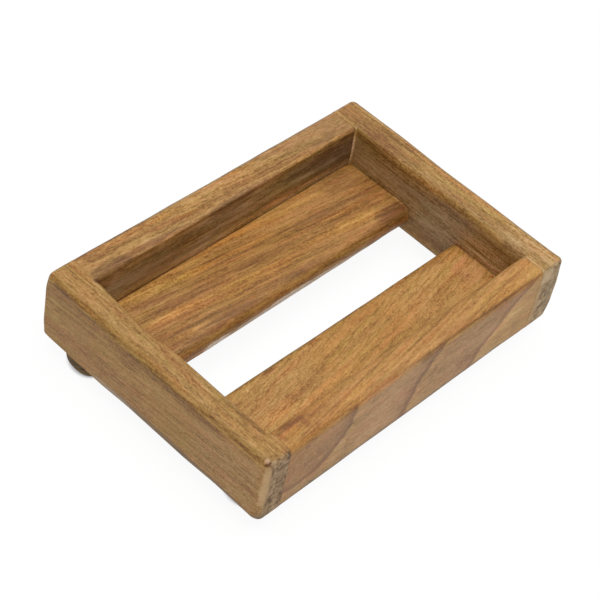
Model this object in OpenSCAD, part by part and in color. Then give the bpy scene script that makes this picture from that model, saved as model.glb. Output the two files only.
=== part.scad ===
// Wooden soap dish: a tray of four rails round two slats, on four button feet.
// X runs along the long rails, Y from front to back, Z up from the surface it stands on.
// The origin is under the middle of the tray.

/* [Tray] */
// Outside length, along the long rails
tray_l = 120; // [95:1:180]
// Outside width, from front face to back face
tray_w = 84; // [76:1:130]
// Height of the rails, without the feet
rail_h = 24; // [20:1:40]

/* [Rails] */
// Thickness of the short rail on the left
left_t = 8.7; // [7.5:0.1:14]
// Thickness of the short rail on the right
right_t = 9.6; // [7.5:0.1:14]
// Thickness of the long rail at the front
front_t = 8.6; // [7:0.1:12]
// Thickness of the long rail at the back
back_t = 10.8; // [7:0.1:14]

/* [Sanded edges] */
// Rounding of the outer top edges
top_round = 2.4; // [0.5:0.1:3]
// Rounding of the outer bottom edges
bottom_round = 2.0; // [0.5:0.1:3]
// Rounding of the four upright corners
corner_round = 1.6; // [0.5:0.1:3]
// Rounding of the opening's top edge, but for the back rail's
mouth_round = 2.1; // [0.5:0.1:3]
// Rounding of the opening's top edge along the back rail
back_mouth_round = 1.3; // [0.5:0.1:3]
// Rounding of the opening's bottom edge
under_round = 1.2; // [0.3:0.1:2]

/* [Slats] */
// Thickness of the slats
slat_t = 7.2; // [5.5:0.1:9]
// Height of the slats' undersides above the undersides of the rails
slat_rise = 3.0; // [1:0.1:6]
// Width of the front slat
front_slat_w = 23.1; // [17:0.1:30]
// Width of the drain slot between the slats
slot_w = 16.6; // [8:0.1:22]
// Rounding of the slats' top edges along the slot
slat_round = 3.0; // [0.5:0.1:3.5]
// Rounding of the front slat's bottom edge along the slot
slat_under_round = 1.4; // [0.3:0.1:2]
// Rounding of the back slat's bottom edge along the slot
back_slat_under_round = 2.4; // [0.3:0.1:2.5]

/* [Feet] */
// Diameter of a foot
foot_d = 13.6; // [11:0.1:15]
// Height of a foot
foot_h = 5; // [3.5:0.1:10]
// Rounding of a foot's lower rim
foot_round = 2.5; // [0.5:0.1:3]
// From the left and right faces to the foot centres
foot_side_in = 10; // [8:0.1:14]
// The same on the back left foot, which sits out at the face
foot_out_in = 6.9; // [6.5:0.1:10]
// From the front and back faces to the foot centres
foot_end_in = 12.6; // [9:0.1:18]

/* [Dowels] */
// Diameter of the corner dowels
dowel_d = 4; // [3:0.1:5]
// Diameter of the slat dowels
slat_dowel_d = 3; // [2:0.1:3.5]
// Depth of the bores in the ends of the long rails
rail_bore = 14; // [8:0.5:20]
// Depth of the bores in the ends of the slats
slat_bore = 12; // [8:0.5:20]
// Wood left between a bore's end and the outer face of the short rail
bore_skin = 2.8; // [1.5:0.1:4]
// From the rails' top and bottom to the corner dowels' axes
dowel_edge = 7; // [5:0.1:7.5]
// From the slats' edges to the slat dowels' axes
slat_dowel_edge = 5.5; // [3:0.1:6]
// Gap for glue round a dowel
glue_gap = 0.1; // [0.05:0.01:0.2]
// Gap left at each end of a dowel
end_gap = 0.5; // [0.2:0.1:1]
// Chamfer at a dowel's ends
dowel_chamfer = 0.5; // [0.2:0.1:0.8]

/* [Hidden] */
$fn = 64;

// How far a cut runs past the face that it opens
overrun = 1;

// Sides: -1 is left or front, +1 is right or back
LEFT = -1;
RIGHT = 1;
FRONT = -1;
BACK = 1;

// Faces of the tray and of its opening
left_x = -tray_l / 2;
right_x = tray_l / 2;
front_y = -tray_w / 2;
back_y = tray_w / 2;
rail_z = foot_h;
top_z = rail_z + rail_h;
in_left_x = left_x + left_t;
in_right_x = right_x - right_t;
in_front_y = front_y + front_t;
in_back_y = back_y - back_t;

// Slats: the back one fills what the front one and the slot leave
slat_z = rail_z + slat_rise;
slat_l = in_right_x - in_left_x;
back_slat_w = in_back_y - in_front_y - front_slat_w - slot_w;

// Dowel heights and places
low_z = rail_z + dowel_edge;
high_z = top_z - dowel_edge;
slat_dowel_z = slat_z + slat_t / 2;
front_rail_y = front_y + front_t / 2;
back_rail_y = back_y - back_t / 2;

// Plane where a long piece butts on the short rail of one side, and that rail's bore depth
function joint_x(side) = side == LEFT ? in_left_x : in_right_x;
function short_bore(side) = (side == LEFT ? left_t : right_t) - bore_skin;

// Axis of a slat dowel: outer is beside the long rail, inner beside the slot
function slat_dowel_y(end, outer) =
    end == FRONT
        ? in_front_y + (outer ? slat_dowel_edge : front_slat_w - slat_dowel_edge)
        : in_back_y - (outer ? slat_dowel_edge : back_slat_w - slat_dowel_edge);

// What a quarter round of radius r leaves of a square corner at the origin
module corner_waste(r) {
    difference() {
        translate([-overrun, -overrun]) square(r + overrun);
        translate([r, r]) circle(r);
    }
}

// Rectangle centred on X, standing on Y = 0, with its low and top corners rounded
module rounded_section(w, h, low_r, top_r) {
    difference() {
        translate([-w / 2, 0]) square([w, h]);
        for (side = [0, 1]) mirror([side, 0]) {
            translate([-w / 2, 0]) corner_waste(low_r);
            translate([-w / 2, h]) mirror([0, 1]) corner_waste(top_r);
        }
    }
}

// Plan of the tray, with its upright corners rounded
module tray_plan() {
    difference() {
        translate([left_x, front_y]) square([tray_l, tray_w]);
        for (x = [0, 1], y = [0, 1]) mirror([x, 0]) mirror([0, y])
            translate([left_x, front_y]) corner_waste(corner_round);
    }
}

// Outside of the tray with every outer edge sanded round
module outer_form() {
    intersection() {
        translate([0, 0, rail_z]) linear_extrude(rail_h) tray_plan();
        translate([0, back_y, rail_z]) rotate([90, 0, 0])
            linear_extrude(tray_w) rounded_section(tray_l, rail_h, bottom_round, top_round);
        translate([left_x, 0, rail_z]) rotate([90, 0, 90])
            linear_extrude(tray_l) rounded_section(tray_w, rail_h, bottom_round, top_round);
    }
}

// Section of the opening from one inner face to the other, with its lips flared into the wood
module opening_section(from, to, to_round) {
    translate([from, -overrun]) square([to - from, rail_h + 2 * overrun]);
    for (lip = [[from, 0, mouth_round], [to, 1, to_round]])
        translate([lip[0], 0]) mirror([lip[1], 0]) {
            mirror([1, 0]) corner_waste(under_round);
            translate([0, rail_h]) mirror([1, 0]) mirror([0, 1]) corner_waste(lip[2]);
        }
}

// Through opening whose flared lips meet in mitres at its corners
module opening_form() {
    intersection() {
        translate([0, back_y + overrun, rail_z]) rotate([90, 0, 0])
            linear_extrude(tray_w + 2 * overrun)
                opening_section(in_left_x, in_right_x, mouth_round);
        translate([left_x - overrun, 0, rail_z]) rotate([90, 0, 90])
            linear_extrude(tray_l + 2 * overrun)
                opening_section(in_front_y, in_back_y, back_mouth_round);
    }
}

// Round bar along X through a joint plane: out into the short rail, in to the long piece
module joint_bar(side, y, z, r, out_l, in_l) {
    translate([joint_x(side) - side * in_l, y, z])
        rotate([0, side * 90, 0]) cylinder(r = r, h = out_l + in_l);
}

// All the bores, which the rails and slats share
module corner_bores() {
    for (side = [LEFT, RIGHT], y = [front_rail_y, back_rail_y], z = [low_z, high_z])
        joint_bar(side, y, z, dowel_d / 2 + glue_gap, short_bore(side), rail_bore);
}

module slat_bores() {
    for (side = [LEFT, RIGHT], end = [FRONT, BACK], outer = [true, false])
        joint_bar(side, slat_dowel_y(end, outer), slat_dowel_z,
            slat_dowel_d / 2 + glue_gap, short_bore(side), slat_bore);
}

// Dowel in its bore, short of both ends, with chamfered ends
module dowel(side, y, z, d, in_l) {
    length = short_bore(side) + in_l - 2 * end_gap;
    color("burlywood")
        translate([joint_x(side) - side * (in_l - end_gap), y, z])
            rotate([0, side * 90, 0]) {
                cylinder(r1 = d / 2 - dowel_chamfer, r2 = d / 2, h = dowel_chamfer);
                translate([0, 0, dowel_chamfer]) cylinder(d = d, h = length - 2 * dowel_chamfer);
                translate([0, 0, length - dowel_chamfer])
                    cylinder(r1 = d / 2, r2 = d / 2 - dowel_chamfer, h = dowel_chamfer);
            }
}

module corner_dowel(side, end, z) {
    dowel(side, end == FRONT ? front_rail_y : back_rail_y, z, dowel_d, rail_bore);
}

module slat_dowel(side, end, outer) {
    dowel(side, slat_dowel_y(end, outer), slat_dowel_z, slat_dowel_d, slat_bore);
}

// Short rail: full width of the tray, so that its end grain shows at front and back
module short_rail(from_x, t) {
    difference() {
        intersection() {
            outer_form();
            translate([from_x, front_y, rail_z]) cube([t, tray_w, rail_h]);
        }
        opening_form();
        corner_bores();
        slat_bores();
    }
}

module left_rail() {
    color("#9a7a56") short_rail(left_x, left_t);
}

module right_rail() {
    color("#9a7a56") short_rail(in_right_x, right_t);
}

// Long rail: butts between the short rails
module long_rail(from_y, t) {
    difference() {
        intersection() {
            outer_form();
            translate([in_left_x, from_y, rail_z]) cube([slat_l, t, rail_h]);
        }
        opening_form();
        corner_bores();
    }
}

module front_rail() {
    color("#a8825a") long_rail(front_y, front_t);
}

module back_rail() {
    color("#a8825a") long_rail(in_back_y, back_t);
}

// Slat section from its seat on the long rail to its rounded edge on the slot
module slat_section(w, under_r) {
    difference() {
        square([w, slat_t]);
        translate([w, 0]) mirror([1, 0]) corner_waste(under_r);
        translate([w, slat_t]) mirror([1, 0]) mirror([0, 1]) corner_waste(slat_round);
    }
}

// Slat lying against its long rail, its ends on the short rails
module slat(end, w, under_r) {
    difference() {
        translate([in_left_x, end == FRONT ? in_front_y : in_back_y, slat_z])
            mirror([0, end == BACK ? 1 : 0, 0])
                rotate([90, 0, 90]) linear_extrude(slat_l) slat_section(w, under_r);
        slat_bores();
    }
}

module front_slat() {
    color("#b07f4c") slat(FRONT, front_slat_w, slat_under_round);
}

module back_slat() {
    color("#a87442") slat(BACK, back_slat_w, back_slat_under_round);
}

// Button foot, its flat top on the rails' undersides
module foot(side, end, side_in) {
    color("#4a3c2e")
        translate([side * (tray_l / 2 - side_in), end * (tray_w / 2 - foot_end_in), 0])
            rotate_extrude()
                difference() {
                    square([foot_d / 2, foot_h]);
                    translate([foot_d / 2, 0]) mirror([1, 0]) corner_waste(foot_round);
                }
}

left_rail();
right_rail();
front_rail();
back_rail();
front_slat();
back_slat();
foot(LEFT, FRONT, foot_side_in);  // foot_front_left
foot(RIGHT, FRONT, foot_side_in);  // foot_front_right
foot(LEFT, BACK, foot_out_in);  // foot_back_left
foot(RIGHT, BACK, foot_side_in);  // foot_back_right
corner_dowel(LEFT, FRONT, low_z);  // dowel_front_left_low
corner_dowel(LEFT, FRONT, high_z);  // dowel_front_left_high
corner_dowel(RIGHT, FRONT, low_z);  // dowel_front_right_low
corner_dowel(RIGHT, FRONT, high_z);  // dowel_front_right_high
corner_dowel(LEFT, BACK, low_z);  // dowel_back_left_low
corner_dowel(LEFT, BACK, high_z);  // dowel_back_left_high
corner_dowel(RIGHT, BACK, low_z);  // dowel_back_right_low
corner_dowel(RIGHT, BACK, high_z);  // dowel_back_right_high
slat_dowel(LEFT, FRONT, true);  // slat_dowel_front_left_outer
slat_dowel(LEFT, FRONT, false);  // slat_dowel_front_left_inner
slat_dowel(RIGHT, FRONT, true);  // slat_dowel_front_right_outer
slat_dowel(RIGHT, FRONT, false);  // slat_dowel_front_right_inner
slat_dowel(LEFT, BACK, true);  // slat_dowel_back_left_outer
slat_dowel(LEFT, BACK, false);  // slat_dowel_back_left_inner
slat_dowel(RIGHT, BACK, true);  // slat_dowel_back_right_outer
slat_dowel(RIGHT, BACK, false);  // slat_dowel_back_right_inner
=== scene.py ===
import math

import bpy
import numpy as np
from mathutils import Matrix, Vector


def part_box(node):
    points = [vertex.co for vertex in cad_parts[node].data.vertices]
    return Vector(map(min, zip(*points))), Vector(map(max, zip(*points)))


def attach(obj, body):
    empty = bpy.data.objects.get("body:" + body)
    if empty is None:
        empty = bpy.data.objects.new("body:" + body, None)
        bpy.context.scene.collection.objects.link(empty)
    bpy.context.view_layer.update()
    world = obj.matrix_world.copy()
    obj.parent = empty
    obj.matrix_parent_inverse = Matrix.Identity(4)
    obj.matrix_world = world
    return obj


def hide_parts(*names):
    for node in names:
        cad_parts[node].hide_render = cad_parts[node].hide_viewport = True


# Looks of the wooden soap dish. Shapes are worked out in millimetres in the CAD frame:
# X along the long rails, Y from front to back, Z up. Blender gets them in metres.

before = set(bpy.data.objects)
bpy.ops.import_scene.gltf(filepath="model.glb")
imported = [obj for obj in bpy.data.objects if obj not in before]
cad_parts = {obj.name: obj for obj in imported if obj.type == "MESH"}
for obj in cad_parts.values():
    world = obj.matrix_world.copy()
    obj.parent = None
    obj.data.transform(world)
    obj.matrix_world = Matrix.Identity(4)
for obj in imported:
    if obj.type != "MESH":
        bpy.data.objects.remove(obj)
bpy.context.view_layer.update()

MM = 0.001


# Faces of the tray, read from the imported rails

def node_box(node):
    """Lowest and highest corner of a CAD node, in millimetres."""
    low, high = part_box(node)
    return np.array(low) / MM, np.array(high) / MM


LEFT, RIGHT = node_box("left_rail"), node_box("right_rail")
FRONT, BACK = node_box("front_rail"), node_box("back_rail")
FRONT_SLAT, BACK_SLAT = node_box("front_slat"), node_box("back_slat")
LEFT_X, RIGHT_X = LEFT[0][0], RIGHT[1][0]
FRONT_Y, BACK_Y = LEFT[0][1], LEFT[1][1]
RAIL_Z, TOP_Z = LEFT[0][2], LEFT[1][2]
IN_LEFT_X, IN_RIGHT_X = LEFT[1][0], RIGHT[0][0]
IN_FRONT_Y, IN_BACK_Y = FRONT[1][1], BACK[0][1]

# How much wider the opening is than in the CAD model, on the right and at the back
WIDER_RIGHT, WIDER_BACK = 0.45, 0.25
FRONT_SLAT[1][0] += WIDER_RIGHT
BACK_SLAT[1][:2] += WIDER_RIGHT, WIDER_BACK

# Small lengths of the joints and roundings
SEAM = 0.06              # easing of the edges at a butt joint
JOINT_GAP = 0.03         # between two faces that are glued together
SETTLED = 0.05           # how far the long rails' faces lie inside the short rails'
OPENING_CORNER = 0.35    # inner upright corners of the opening
UNDER_LIP = 1.35         # bottom edge of the opening
SLAT_EASING = 0.15       # slat edges along the rails
SLAT_UNDER_EASING = 0.3  # the same on the underside
UNEVEN = 0.08            # how far sanding leaves a face out of true
UNEVEN_SLAT = 0.16       # the same on top of the slats


# Forms: a field is below zero in the wood and above zero outside it

def round_meet(a, b, r):
    """Two faces that meet in an edge of radius r."""
    return np.minimum(-r, np.maximum(a, b)) + np.hypot(np.maximum(a + r, 0), np.maximum(b + r, 0))


def round_valley(a, b, r):
    """Two faces that meet in an inner corner of radius r."""
    return -round_meet(-a, -b, r)


def hump(s, middle, width):
    """1 at the middle, fading to 0 over the width on each side."""
    return np.exp(-((s - middle) / width) ** 2)


def rise(s, start, end):
    """0 before start, 1 after end, smooth between them."""
    t = np.clip((s - start) / (end - start), 0, 1)
    return t * t * (3 - 2 * t)


def share_of(lead, width):
    """0 where the lead is well below zero, 1 where it is well above, soft over the width."""
    return 1 / (1 + np.exp(np.clip(-lead / width, -30, 30)))


def hand(p, seed, length):
    """The unevenness of hand sanding, from 0 to 1, with waves about that long."""
    rng = np.random.default_rng(seed)
    total = np.zeros(len(p))
    for _ in range(6):
        way = rng.normal(size=3)
        way /= np.linalg.norm(way)
        wave = length * rng.uniform(0.6, 1.7)
        total += np.sin(p @ way * (2 * math.pi / wave) + rng.uniform(0, 2 * math.pi))
    return 0.5 + total / 12


def sanded(p, seed, depth=UNEVEN):
    """How far a face lies inside its plane."""
    return 0.01 + depth * (0.7 * hand(p, seed, 34) + 0.3 * hand(p, seed + 1, 11))


def by_corner(x, y, front_left, back_left, front_right, back_right):
    """The value of the corner nearest to each point."""
    return np.where(x < 0, np.where(y < 0, front_left, back_left),
                    np.where(y < 0, front_right, back_right))


def upright_round(x, y, z):
    """Radii of the upright corners, rounder towards the top."""
    head, tip = rise(z, TOP_Z - 11, TOP_Z - 1), rise(z, TOP_Z - 6, TOP_Z - 0.5)
    heel = 1 - rise(z, RAIL_Z + 0.5, RAIL_Z + 6)
    return by_corner(x, y, front_left=2.7 + 0.3 * head, back_left=0.3 + 1.4 * tip + 0.8 * heel,
                     front_right=0.4 + 1.4 * head + 1.4 * heel, back_right=1.6 + 0.5 * head)


def edge_round(x, y, left, right, front, back, long_share):
    """The radius of the edge nearest to each point, from the radii along the four edges."""
    short_edge, long_edge = np.where(x < 0, left, right), np.where(y < 0, front, back)
    return long_edge * long_share + short_edge * (1 - long_share)


def top_round(p, long_share):
    """Outer top edges: the left one is sanded back hard a third of the way from its far end."""
    x, y, _ = p.T
    left = 2.5 + 1.1 * hump(y, 12, 13) - 0.7 * hump(y, 34, 6) + 0.5 * hand(p, 31, 17)
    right = 2.2 + 0.5 * hand(p, 32, 19) - 0.8 * rise(y, 0, 25)
    front = 2.2 + 0.5 * hand(p, 33, 15) + 0.3 * hump(x, -36, 9)
    front = front - 1.0 * rise(-x, 49.5, 53) - 1.0 * rise(x, 48, 52)
    back = 1.9 + 0.5 * hand(p, 34, 17) - 0.4 * rise(-x, 25, 38)
    return edge_round(x, y, left, right, front, back, long_share)


def bottom_round(p, long_share):
    """Outer bottom edges: the front right corner has lost the most."""
    x, y, _ = p.T
    left = 2.5 - 1.0 * rise(y, -27, -13) - 1.0 * rise(y, 6, 19)
    right = 1.8 + 1.4 * hump(y, FRONT_Y, 7)
    front = 1.2 + 0.3 * hand(p, 36, 17) - 0.4 * rise(x, 36, 48)
    return edge_round(x, y, left, right, front, 1.8, long_share)


def lip_round(p, long_share):
    """Top edges of the opening."""
    x, y, _ = p.T
    left = 2.1 + 1.6 * hump(y, 12, 8) - 1.3 * hump(y, 31, 5) + 0.2 * hump(y, -19, 6)
    right = 1.3 + 0.4 * hand(p, 51, 15) + 0.9 * rise(-y, -24, 0) + 0.9 * rise(-y, 4, 32)
    front = 2.1 + 0.5 * hand(p, 52, 15) - 0.5 * hump(x, 46, 6)
    back = 0.7 + 0.3 * hand(p, 53, 15) + 1.2 * hump(x, -46, 6)
    return edge_round(x, y, left, right, front, back, long_share)


def tray_form(p):
    """The four rails as one sanded form round the opening."""
    x, y, z = p.T
    low, high = RAIL_Z + sanded(p, 19) - z, z - TOP_Z + sanded(p, 21)

    # Outside
    across = np.maximum(LEFT_X + sanded(p, 11) - x, x - RIGHT_X + sanded(p, 13))
    along = np.maximum(FRONT_Y + sanded(p, 15) - y, y - BACK_Y + sanded(p, 17))
    long_share = share_of(along - across, 0.8)
    sides = round_meet(across, along, upright_round(x, y, z))
    body = round_meet(sides, high, top_round(p, long_share))
    body = round_meet(body, low, bottom_round(p, long_share))

    # Opening, whose back wall leans out a little at the top
    in_left = x - IN_LEFT_X + 0.5 * sanded(p, 41)
    in_right = IN_RIGHT_X + WIDER_RIGHT - x + 0.5 * sanded(p, 43)
    in_front = y - IN_FRONT_Y + 0.5 * sanded(p, 45)
    in_back = IN_BACK_Y + WIDER_BACK + 0.35 * rise(z, 18, 28) - y + 0.5 * sanded(p, 47)
    span, width = np.minimum(in_left, in_right), np.minimum(in_front, in_back)
    hole = round_valley(span, width, OPENING_CORNER)
    mouth = round_meet(high, hole, lip_round(p, share_of(span - width, 0.5)))
    underside = round_meet(low, hole, UNDER_LIP)
    return np.maximum(body, np.maximum(mouth, underside))


def left_rail_form(p):
    return round_meet(tray_form(p), p[:, 0] - IN_LEFT_X + 0.01, SEAM)


def right_rail_form(p):
    return round_meet(tray_form(p), IN_RIGHT_X + 0.01 - p[:, 0], SEAM)


def long_rail_form(p):
    ends = np.maximum(IN_LEFT_X + JOINT_GAP - p[:, 0], p[:, 0] - IN_RIGHT_X + JOINT_GAP)
    return round_meet(tray_form(p) + SETTLED, ends, SEAM)


def slat_form(p, box, slot_side, seed, over, under):
    """A slat in its box, with roundings over and under along the slot.

    slot_side is 1 where the slot lies behind the slat, -1 where it lies in front.
    """
    x, y, z = p.T
    ends = np.maximum(box[0][0] + JOINT_GAP - x, x - box[1][0] + JOINT_GAP)
    low_y, high_y = box[0][1] - y, y - box[1][1]
    slot, seat = (high_y, low_y) if slot_side > 0 else (low_y, high_y)
    slot, seat = slot + sanded(p, seed), seat + JOINT_GAP
    high = z - box[1][2] + sanded(p, seed + 2, UNEVEN_SLAT)
    low = box[0][2] - z + sanded(p, seed + 4)
    body = np.maximum(round_meet(slot, high, over), round_meet(slot, low, under))
    body = np.maximum(body, round_meet(seat, high, SLAT_EASING))
    body = np.maximum(body, round_meet(seat, low, SLAT_UNDER_EASING))
    return round_meet(body, ends, SLAT_EASING)


def front_slat_form(p):
    over = 2.1 + 0.5 * hand(p, 71, 14) + 0.3 * rise(p[:, 0], -35, -15)
    return slat_form(p, FRONT_SLAT, 1, 61, over, 1.4)


def back_slat_form(p):
    over = 3.2 + 0.5 * hand(p, 73, 16)
    under = 2.4 + 0.5 * hand(p, 75, 9) + 0.4 * rise(p[:, 0], 20, 45)
    return slat_form(p, BACK_SLAT, -1, 65, over, under)


# Meshes: a box of graded rows of faces, drawn in onto the form

ROWS_AT_ENDS = (0, 0.05, 0.12, 0.22, 0.36, 0.55, 0.8, 1.1, 1.45, 1.85, 2.3, 2.8, 3.35, 3.95)
ROWS_AT_FOCUS = (0, 0.12, 0.3, 0.55, 0.85, 1.2, 1.6, 2.05, 2.6, 3.2)
WIDEST_ROW, NARROWEST_ROW = 1.6, 0.04
CORE_DEPTH = 3.9     # how deep under its skin a box's core lies
CORE_LEAST = 0.4     # least half thickness of the core
HALVINGS = 26        # steps in finding the form between the core and the skin


def stations(low, high, focus=()):
    """Places from low to high, close together near the ends and near each place of focus."""
    places = [low + f for f in ROWS_AT_ENDS if low + f < (low + high) / 2]
    places += [high - f for f in ROWS_AT_ENDS if high - f > (low + high) / 2]
    for place in focus:
        places += [place + f for f in ROWS_AT_FOCUS] + [place - f for f in ROWS_AT_FOCUS]
    places = np.unique(np.round([q for q in places if low <= q <= high], 4))
    kept = [places[0]]
    for q in places[1:]:
        if q - kept[-1] > NARROWEST_ROW:
            kept.append(q)
    kept[-1] = high
    filled = []
    for a, b in zip(kept, kept[1:]):
        count = max(1, math.ceil((b - a) / WIDEST_ROW))
        filled += list(a + (b - a) * np.arange(count) / count)
    return np.array(filled + [high])


def box_grid(rows):
    """Points and four-cornered faces of a box's skin, with rows at those places on each axis."""
    points, faces, count = [], [], 0
    for fixed in range(3):
        a, b = [k for k in range(3) if k != fixed]
        for end in (0, -1):
            grid_a, grid_b = np.meshgrid(rows[a], rows[b], indexing="ij")
            side = np.zeros(grid_a.shape + (3,))
            side[..., a], side[..., b], side[..., fixed] = grid_a, grid_b, rows[fixed][end]
            index = np.arange(grid_a.size).reshape(grid_a.shape) + count
            quads = np.stack([index[:-1, :-1], index[1:, :-1], index[1:, 1:], index[:-1, 1:]], -1)
            outward = (fixed != 1) == (end == -1)
            quads = quads.reshape(-1, 4) if outward else quads.reshape(-1, 4)[:, ::-1]
            points.append(side.reshape(-1, 3))
            faces.append(quads)
            count += grid_a.size
    points, faces = np.concatenate(points), np.concatenate(faces)
    _, first, where = np.unique(np.round(points, 5), axis=0, return_index=True, return_inverse=True)
    return points[first], where.reshape(-1)[faces]


def draw_in(points, form):
    """Each point moves straight towards the box's core until it lies on the form."""
    low, high = points.min(0), points.max(0)
    depth = np.minimum(CORE_DEPTH, (high - low) / 2 - CORE_LEAST)
    core = np.clip(points, low + depth, high - depth)
    way = points - core
    near, far = np.zeros(len(points)), np.ones(len(points))
    for _ in range(HALVINGS):
        middle = (near + far) / 2
        outside = form(core + way * middle[:, None]) > 0
        far = np.where(outside, middle, far)
        near = np.where(outside, near, middle)
    return core + way * near[:, None]


def new_piece(name, points, faces, material, nodes):
    """A smooth mesh from points in millimetres, riding on the dish in place of CAD nodes."""
    mesh = bpy.data.meshes.new(name)
    mesh.from_pydata((points * MM).tolist(), [], faces)
    mesh.update()
    mesh.polygons.foreach_set("use_smooth", [True] * len(mesh.polygons))
    piece = bpy.data.objects.new(name, mesh)
    bpy.context.scene.collection.objects.link(piece)
    mesh.materials.append(material)
    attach(piece, "root")
    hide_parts(*nodes)


def block(node, box, form, material, focus_y=()):
    """A rail or slat: its CAD box, drawn in onto its form."""
    rows = [stations(low, high, focus) for low, high, focus in zip(*box, ((), focus_y, ()))]
    points, faces = box_grid(rows)
    new_piece(node + "_wood", draw_in(points, form), faces.tolist(), material, [node])


# Feet

ROUND_STEPS = 96               # places round a foot
RIM_TURN = math.radians(125)   # which way the softest part of the rim faces


def foot_profile(turn, radius, height):
    """Radii and heights of the rings of a button foot, out under it, up its side and in again."""
    rim = 1.4 + 1.8 * rise(np.cos(turn - RIM_TURN), -0.2, 0.7)
    level, side = np.zeros_like(rim), np.full_like(rim, radius)
    rings = [((radius - rim * 1.1) * s, level) for s in (0.0, 0.35, 0.7, 0.98)]
    rings += [(radius - rim + rim * math.sin(t), rim - rim * math.cos(t))
              for t in np.linspace(0.12, math.pi / 2, 12)]
    rings += [(side, rim + (height - rim) * s) for s in (0.25, 0.5, 0.75, 0.9)]
    rings += [(side - inset, level + z) for inset, z in (
        (0.06, height - 0.12), (0.2, height), (radius * 0.4, height), (radius, height))]
    return rings


def turned(centre, turn, rings):
    """Points and faces of a turned form. A ring without width is one point."""
    numbers, points, faces = [], [], []
    for r, z in rings:
        count = 1 if np.abs(r).max() < 1e-9 else len(turn)
        numbers.append(list(range(len(points), len(points) + count)))
        points += list(zip(centre[0] + r * np.cos(turn), centre[1] + r * np.sin(turn), z))[:count]
    for inner, outer in zip(numbers, numbers[1:]):
        for k in range(len(turn)):
            m = (k + 1) % len(turn)
            if len(inner) == 1:
                faces.append([inner[0], outer[m], outer[k]])
            elif len(outer) == 1:
                faces.append([inner[k], inner[m], outer[0]])
            else:
                faces.append([inner[k], inner[m], outer[m], outer[k]])
    return np.array(points), faces


def foot(end, seed, material):
    """A button foot with a lopsided lower rim, a little uneven round its side."""
    node = "foot_" + end
    low, high = node_box(node)
    centre, radius, height = (low + high) / 2, (high[0] - low[0]) / 2, high[2] - low[2]
    turn = 2 * math.pi * np.arange(ROUND_STEPS) / ROUND_STEPS
    points, faces = turned(centre, turn, foot_profile(turn, radius, height))
    out = points[:, :2] - centre[:2]
    size = np.linalg.norm(out, axis=1, keepdims=True)
    uneven = 0.02 + 0.10 * hand(points, seed, 9)[:, None]
    points[:, :2] -= out / np.maximum(size, 1e-6) * np.where(size > radius * 0.6, uneven, 0)
    new_piece("foot_button_" + end, points, faces, material, [node])


# Node helpers

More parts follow.
